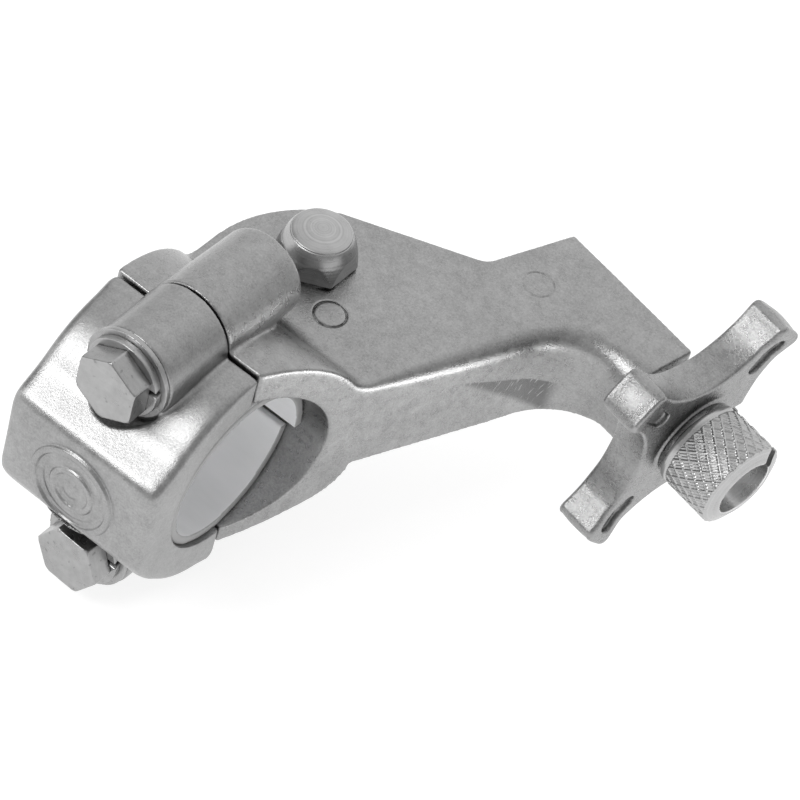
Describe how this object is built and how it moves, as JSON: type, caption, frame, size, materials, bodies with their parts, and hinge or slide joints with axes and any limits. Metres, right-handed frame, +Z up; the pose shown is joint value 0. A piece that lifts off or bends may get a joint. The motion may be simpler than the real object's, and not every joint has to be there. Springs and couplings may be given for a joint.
{
  "type": "clutch perch",
  "caption": "Motorcycle clutch perch: a two-piece handlebar clamp on a split sleeve, with lever ears, pivot bolt and star-wheel cable adjuster",
  "frame": {"origin": "centre of the handlebar bore, halfway along the clamp", "axes": "+X along the handlebar towards the adjuster, +Y away from the rider, +Z up along the lever's pivot bolt"},
  "size_m": [0.0736, 0.0816, 0.0472],
  "materials": {
    "cast_body": "tumbled cast, satin",
    "cast_cap": "tumbled cast, satin",
    "cast_wheel": "tumbled cast, grainy satin",
    "turned_barrel": "turned and knurled, bright",
    "zinc_steel": "zinc-plated, satin",
    "pivot_steel": "turned, satin",
    "sleeve_plastic": "moulded white nylon, satin",
    "nut_nylon": "moulded nylon"
  },
  "bodies": {
    "perch": {"perch_body": "cast_body", "clamp_cap": "cast_cap", "upper_clamp_bolt": "zinc_steel", "upper_flat_washer": "zinc_steel", "upper_lock_washer": "zinc_steel", "lower_clamp_bolt": "zinc_steel", "lower_flat_washer": "zinc_steel", "lower_lock_washer": "zinc_steel", "pivot_bolt": "pivot_steel", "pivot_nut": "zinc_steel", "pivot_nut_ring": "nut_nylon"},
    "sleeve": {"bar_sleeve": "sleeve_plastic"},
    "wheel": {"thumb_wheel": "cast_wheel"},
    "barrel": {"adjuster_barrel": "turned_barrel"}
  },
  "joints": [
    {"name": "sleeve_turn", "type": "hinge", "parent": "perch", "child": "sleeve", "pos_m": [0, 0, 0], "axis": [1, 0, 0], "continuous": true},
    {"name": "wheel_turn", "type": "hinge", "parent": "perch", "child": "wheel", "pos_m": [0.06, 0.0453, 0.0029], "axis": [0.9829, -0.1822, -0.0262], "range_deg": [0, 2304]},
    {"name": "barrel_travel", "type": "slide", "parent": "perch", "child": "barrel", "axis": [0.9829, -0.1822, -0.0262], "range_m": [0, 0.00801]}
  ],
  "couplings": [
    {"joint": "barrel_travel", "follows": "wheel_turn", "m_per_rad": 0.00019894}
  ]
}
